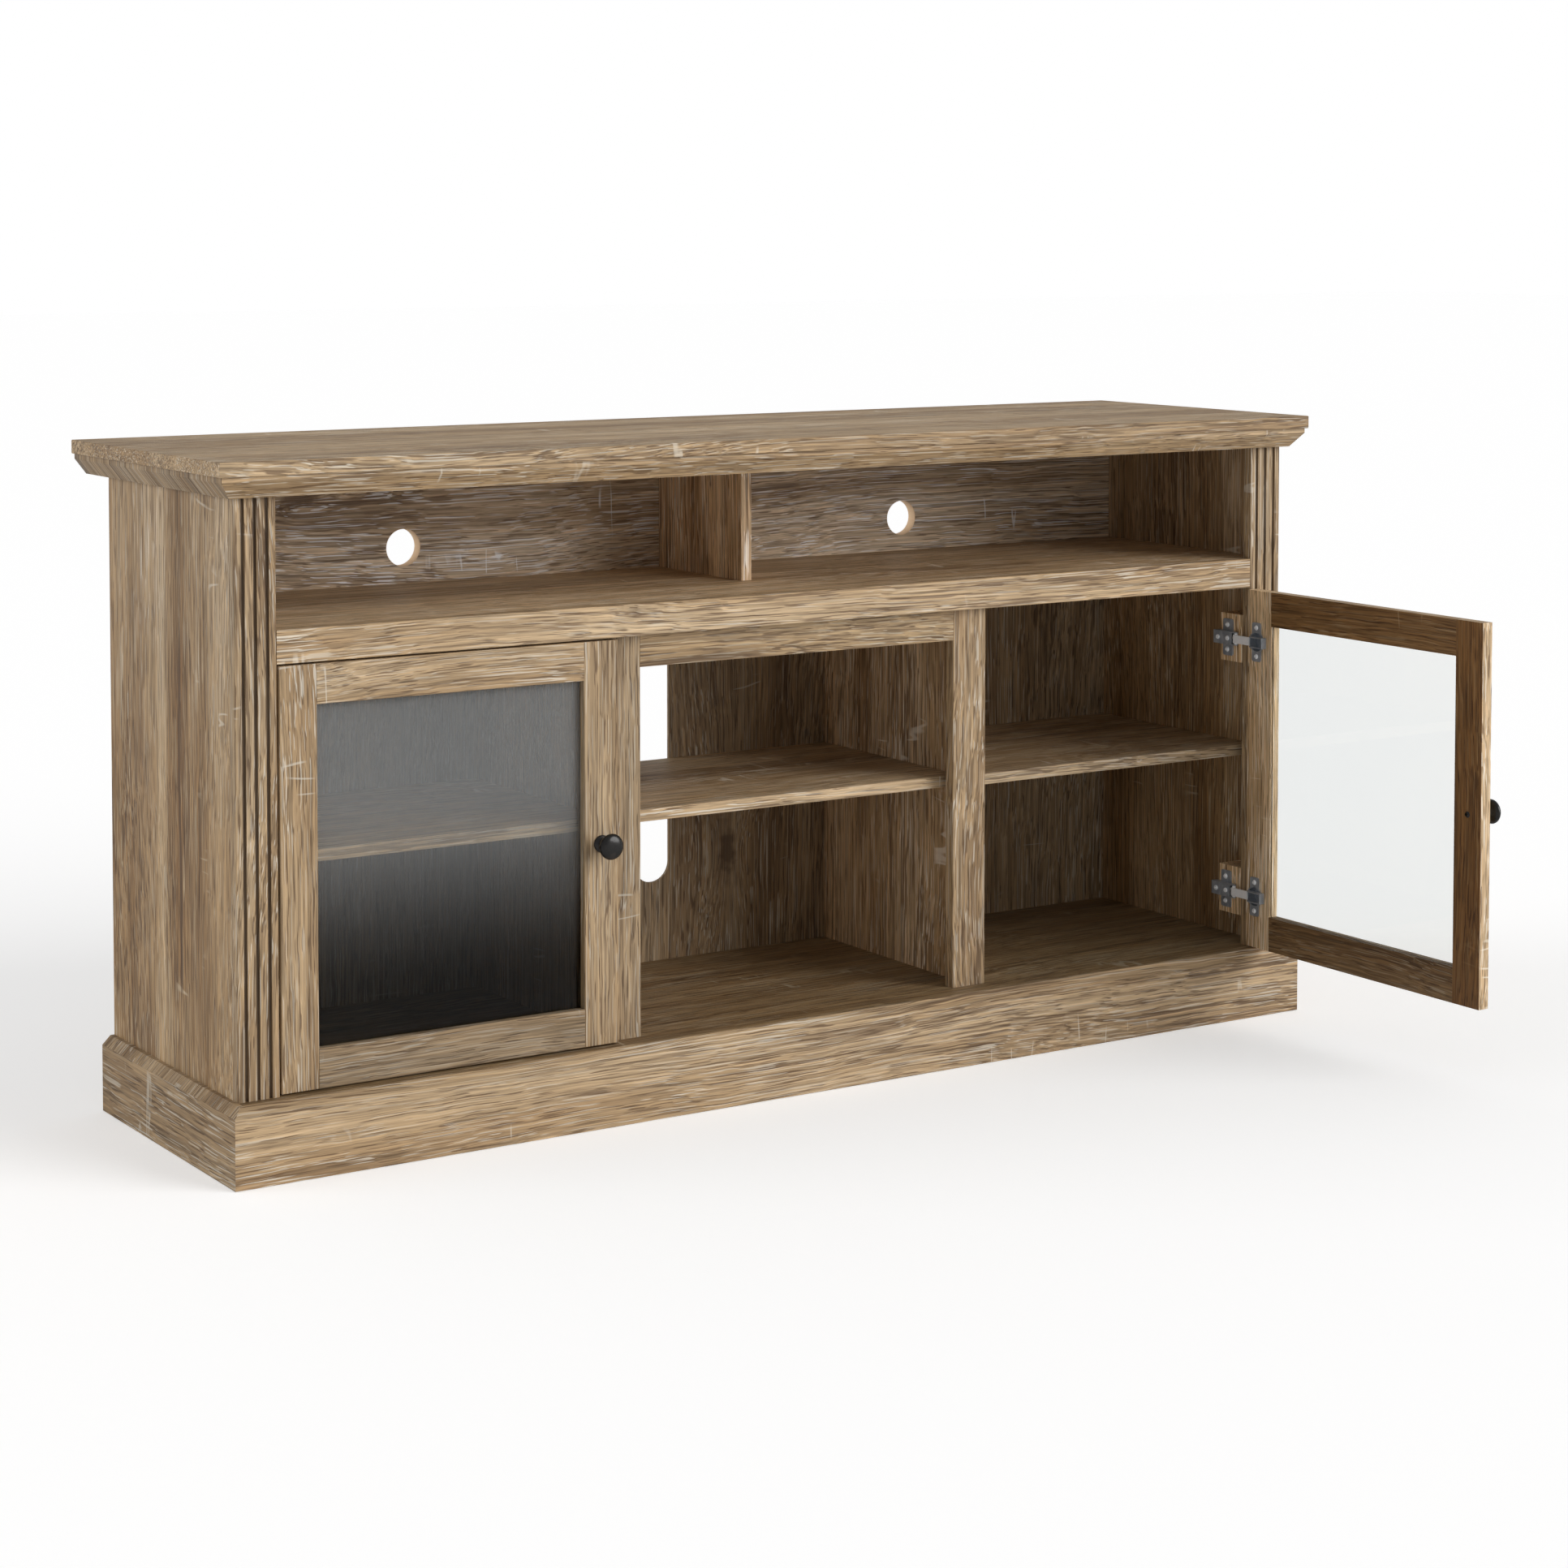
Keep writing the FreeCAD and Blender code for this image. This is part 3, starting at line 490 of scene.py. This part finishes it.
# ---- Lower carcass ------------------------------------------------------------------------------
# Partitions, a face frame round the centre bay and one bottom board, all of the same oak. The back,
# with an upright slot for cables, is screwed on from behind; the shelves' ends sit in grooves.
# the tones and greys below are partly painted light and shade: the partitions and left shelf are
# lightened; the left face-frame stile, lower back and bottom board are darkened
for side in ("left", "right"):
    finish_node("partition_" + side, limed_oak("partition_" + side, "z", tone=1.35, grey=0.3))
    finish_node("frame_stile_" + side, limed_oak("frame_stile_" + side, "z",
                                                 tone=0.71 if side == "left" else 1.0))
    finish_node("shelf_" + side, limed_oak("shelf_" + side, "x", tone=1.8 if side == "left" else 0.92))
finish_node("frame_top_rail", limed_oak("frame_top_rail", "x", tone=0.84, grey=-0.8))
finish_node("lower_back_panel", limed_oak("lower_back", "z", ((0.10, 0.178, 0.215), 0.028), tone=0.70,
                                          grey=-0.2))
finish_node("shelf_centre", limed_oak("shelf_centre", "x", tone=1.04))
finish_node("bottom_panel", limed_oak("bottom_panel", "x", tone=0.64, grey=-1.2))

# ---- Plinth -------------------------------------------------------------------------------------
# Three show boards mitred at the corners, the top edge chamfered. The rail, brace and corner blocks
# behind them are planed pine left unfinished: pale, with soft straight growth lines.
pine_pale = (0.72, 0.54, 0.33)
pine_late = (0.50, 0.30, 0.14)
chamfer_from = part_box("plinth_left")[1][2] - 0.0098


def raw_pine(name, along):
    # unfinished pine: pale early wood, browner late wood in soft lines, no pores
    material = bpy.data.materials.new("raw_pine_" + name)
    material.use_nodes = True
    tree = material.node_tree
    shader = tree.nodes["Principled BSDF"]
    where = tree.nodes.new("ShaderNodeTexCoord")
    turn = tree.nodes.new("ShaderNodeMapping")
    turn.inputs["Rotation"].default_value = grain_turn[along]
    tree.links.new(where.outputs["Object"], turn.inputs["Vector"])
    lines = stretched_noise(tree, turn.outputs[0], (1.5, 130.0, 130.0),
                            detail=2.0, rough=0.55, shift=4.4)
    fibre = stretched_noise(tree, turn.outputs[0], (12.0, 900.0, 900.0),
                            detail=2.0, rough=0.6, shift=6.6)
    late = math_node(tree, "MULTIPLY", window(tree, lines, 0.46, 0.64), 0.7)
    late = math_node(tree, "MULTIPLY_ADD", fibre, 0.25, late, clamp=True)
    tree.links.new(blend(tree, late, pine_pale, pine_late), shader.inputs["Base Color"])
    tree.links.new(math_node(tree, "MULTIPLY_ADD", lines, 0.2, 0.55), shader.inputs["Roughness"])
    bump = tree.nodes.new("ShaderNodeBump")
    bump.inputs["Strength"].default_value = 0.3
    bump.inputs["Distance"].default_value = 0.0003
    tree.links.new(fibre, bump.inputs["Height"])
    tree.links.new(bump.outputs[0], shader.inputs["Normal"])
    return material


finish_node("plinth_front", limed_oak("plinth_front", "x"))
finish_node("plinth_left", limed_oak("plinth_left", "y", tone=0.82,
                                     special=short_grain(chamfer_from, 0.86)))
finish_node("plinth_right", limed_oak("plinth_right", "y", special=short_grain(chamfer_from, 1.0)))
for node, along in (("plinth_back_rail", "x"), ("plinth_centre_brace", "y"),
                    ("plinth_corner_blocks", "z")):
    finish_node(node, raw_pine(node, along))

# ---- Doors --------------------------------------------------------------------------------------
# Tenoned frames of the same oak round a sheet of clear glass let into a groove. Each hangs on two
# concealed hinges, whose cups are sunk into the back of its hinge stile.
glass = bpy.data.materials.new("clear_glass")
glass.use_nodes = True
glass_shader = glass.node_tree.nodes["Principled BSDF"]
glass_shader.inputs["Base Color"].default_value = (0.93, 0.95, 0.945, 1)
glass_shader.inputs["Roughness"].default_value = 0.02
glass_shader.inputs["IOR"].default_value = 1.5
glass_shader.inputs["Transmission Weight"].default_value = 1.0
glass_shader.inputs["Specular IOR Level"].default_value = 0.25


# painted light on the free stile's edge face
painted_edge_light = (1.3, 1.3, 1.3)
face_depth = 0.0004  # how far into the wood still counts as the face


def painted_door_shade_and_light(side, painted_back_shade):
    # the doors' backs are darkened as painted shade, and the free stile's edge face is lightened as
    # painted light
    axis = "Y" if side == "left" else "X"
    edge_axis = "X" if side == "left" else "Y"
    low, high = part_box("door_free_stile_" + side)
    back_at = high[1] - face_depth if side == "left" else low[0] + face_depth
    edge_at = high[0] - face_depth if side == "left" else low[1] + face_depth

    def shade(tree, place, finish):
        split = tree.nodes.new("ShaderNodeSeparateXYZ")
        tree.links.new(place, split.inputs[0])
        beyond = "GREATER_THAN" if side == "left" else "LESS_THAN"
        behind = math_node(tree, beyond, split.outputs[axis], back_at)
        edge = math_node(tree, beyond, split.outputs[edge_axis], edge_at)
        finish = shaded(tree, behind, finish, painted_back_shade)
        return shaded(tree, edge, finish, painted_edge_light)
    return shade


for side in ("left", "right"):
    along = "x" if side == "left" else "y"
    # the last colour of each row is the painted shade on that piece's back; the tones are partly the
    # boards' own colour and partly painted light and shade
    for piece, grain, lighter, painted_back_shade in (
            ("hinge_stile_", "z", 0.94 if side == "left" else 1.45, (1.0, 1.0, 1.0)),
            ("free_stile_", "z", 0.88 if side == "left" else 1.02, (0.35, 0.235, 0.125)),
            ("top_rail_", along, 1.0 if side == "left" else 1.15, (0.42, 0.32, 0.21)),
            ("bottom_rail_", along, 0.62, (0.72, 0.62, 0.50))):
        node = "door_" + piece + side
        finish_node(node, limed_oak(node, grain, tone=lighter, special=painted_door_shade_and_light(side, painted_back_shade)))
    finish_node("door_glass_" + side, glass)

# the left pane carries painted light: low down its dark tint is a painted shade over what lies behind
# it, and higher up it turns into a pale grey sheet, a painted sheen
sheen_low, sheen_high = 0.17, 0.41
sheen_cover = 0.125
painted_glass = glass.copy()
painted_glass.name = "glass_painted_shade_and_sheen"
painted_glass_tree = painted_glass.node_tree
painted_glass_shader = painted_glass_tree.nodes["Principled BSDF"]
painted_glass_where = painted_glass_tree.nodes.new("ShaderNodeTexCoord")
painted_glass_split = painted_glass_tree.nodes.new("ShaderNodeSeparateXYZ")
painted_glass_tree.links.new(painted_glass_where.outputs["Object"], painted_glass_split.inputs[0])
painted_glass_shader.inputs["Specular Tint"].default_value = (0.2, 0.2, 0.2, 1)
shade_to_sheen = window(painted_glass_tree, painted_glass_split.outputs["Z"], sheen_low, sheen_high)
painted_glass_tree.links.new(math_node(painted_glass_tree, "MULTIPLY_ADD", shade_to_sheen, -sheen_cover, 1.0),
                    painted_glass_shader.inputs["Transmission Weight"])
# dark tint low down (painted shade) to pale grey high up (painted sheen)
painted_glass_tree.links.new(blend(painted_glass_tree, shade_to_sheen, (0.42, 0.43, 0.43), (0.88, 0.90, 0.90)),
                    painted_glass_shader.inputs["Base Color"])
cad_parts["door_glass_left"].data.materials[0] = painted_glass

# ---- Knobs --------------------------------------------------------------------------------------
# Turned metal knobs, blackened and waxed: a small rose, a waisted stem and a flattened round head.
# Each is screwed on from behind through the door's free stile.
black_metal = bpy.data.materials.new("blackened_metal")
black_metal.use_nodes = True
black_tree = black_metal.node_tree
black_shader = black_tree.nodes["Principled BSDF"]
black_where = black_tree.nodes.new("ShaderNodeTexCoord")
wear = stretched_noise(black_tree, black_where.outputs["Object"], (90.0, 90.0, 90.0),
                       detail=3.0, rough=0.6)
black_shader.inputs["Metallic"].default_value = 0.6
black_shader.inputs["Coat Weight"].default_value = 0.35
black_shader.inputs["Coat Roughness"].default_value = 0.12
blackened, rubbed = (0.012, 0.011, 0.010), (0.032, 0.026, 0.022)
black_tree.links.new(blend(black_tree, window(black_tree, wear, 0.45, 0.75), blackened, rubbed),
                     black_shader.inputs["Base Color"])
black_tree.links.new(math_node(black_tree, "MULTIPLY_ADD", wear, 0.22, 0.20),
                     black_shader.inputs["Roughness"])

# the knob's outline from the door outwards: radius and distance, in metres
knob_outline = ((0.0098, 0.0), (0.0100, 0.0004), (0.0100, 0.0014), (0.0094, 0.0021), (0.0080, 0.0028),
                (0.0066, 0.0038), (0.0058, 0.0055), (0.0055, 0.0080), (0.0057, 0.0115),
                (0.0064, 0.0145), (0.0082, 0.0165), (0.0110, 0.0179), (0.0134, 0.0195),
                (0.0147, 0.0213), (0.0150, 0.0229), (0.0145, 0.0246), (0.0131, 0.0262),
                (0.0108, 0.0274), (0.0078, 0.0281), (0.0040, 0.0284))
sort_from = (0.31, 0.17, 0.07)  # off to one side, so that no two faces are equally far from it
for side in ("left", "right"):
    low, high = (Vector(c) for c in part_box("knob_" + side))
    if side == "left":
        seat = Vector(((low.x + high.x) / 2, high.y, (low.z + high.z) / 2))
        outward = Vector((0, -1, 0))
    else:
        seat = Vector((low.x, (low.y + high.y) / 2, (low.z + high.z) / 2))
        outward = Vector((1, 0, 0))
    turn = outward.to_track_quat("Z", "Y")
    bpy.ops.object.select_all(action="DESELECT")
    bpy.ops.mesh.primitive_circle_add(vertices=64, radius=knob_outline[0][0], fill_type="NGON",
                                      location=(0, 0, 0))
    knob = bpy.context.object
    knob.name = "knob_turned_" + side
    bpy.ops.object.mode_set(mode="EDIT")
    bpy.ops.mesh.select_all(action="SELECT")
    for (r0, h0), (r1, h1) in zip(knob_outline, knob_outline[1:]):
        bpy.ops.mesh.extrude_region_move(TRANSFORM_OT_translate={"value": (0, 0, h1 - h0)})
        bpy.ops.transform.resize(value=(r1 / r0, r1 / r0, 1), center_override=(0, 0, h1))
    bpy.ops.mesh.poke(offset=0.00008)
    bpy.ops.mesh.select_all(action="SELECT")
    bpy.ops.mesh.normals_make_consistent(inside=False)
    # extruding leaves the faces in a chance order, so they are sorted by distance from a point
    bpy.context.scene.cursor.location = sort_from
    bpy.ops.mesh.sort_elements(type="CURSOR_DISTANCE", elements={"VERT", "EDGE", "FACE"})
    bpy.context.scene.cursor.location = (0, 0, 0)
    bpy.ops.object.mode_set(mode="OBJECT")
    knob.matrix_world = Matrix.Translation(seat) @ turn.to_matrix().to_4x4()
    bpy.ops.object.transform_apply(location=True, rotation=True, scale=True)
    bpy.ops.object.shade_smooth_by_angle(angle=math.radians(50))
    knob.data.materials.append(black_metal)
    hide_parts("knob_" + side)
    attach(knob, "door_" + side)

# ---- Concealed hinges and screws ----------------------------------------------------------------
# Pressed steel with a dull bluish plating on the cups, plates and arms; the links and screw heads
# are bright. The wood blocks behind the plates are oak offcuts.
def plated(name, colour, worn_colour, rough, metal):
    material = bpy.data.materials.new(name)
    material.use_nodes = True
    tree = material.node_tree
    shader = tree.nodes["Principled BSDF"]
    where = tree.nodes.new("ShaderNodeTexCoord")
    patch = stretched_noise(tree, where.outputs["Object"], (120.0, 120.0, 60.0), detail=3.0, rough=0.6)
    shader.inputs["Metallic"].default_value = metal
    tree.links.new(blend(tree, window(tree, patch, 0.35, 0.70), colour, worn_colour),
                   shader.inputs["Base Color"])
    tree.links.new(math_node(tree, "MULTIPLY_ADD", patch, 0.20, rough - 0.10),
                   shader.inputs["Roughness"])
    return material


hinge_plating = plated("hinge_plating", (0.30, 0.33, 0.37), (0.44, 0.47, 0.51), rough=0.42, metal=0.35)
bright_plating = plated("bright_plating", (0.92, 0.93, 0.94), (0.98, 0.98, 0.98), rough=0.32, metal=0.1)
for side in ("left", "right"):
    for node in ("hinge_plates_", "hinge_arms_", "hinge_cups_"):
        finish_node(node + side, hinge_plating)
    for node in ("hinge_links_", "plate_screws_", "arm_screws_", "cup_screws_"):
        finish_node(node + side, bright_plating)
    finish_node("knob_screw_" + side, black_metal)
    # the blocks are lightened: painted light in the bays' shade
    finish_node("hinge_blocks_" + side, limed_oak("hinge_blocks_" + side, "z", tone=1.8))
finish_node("back_screws", bright_plating)
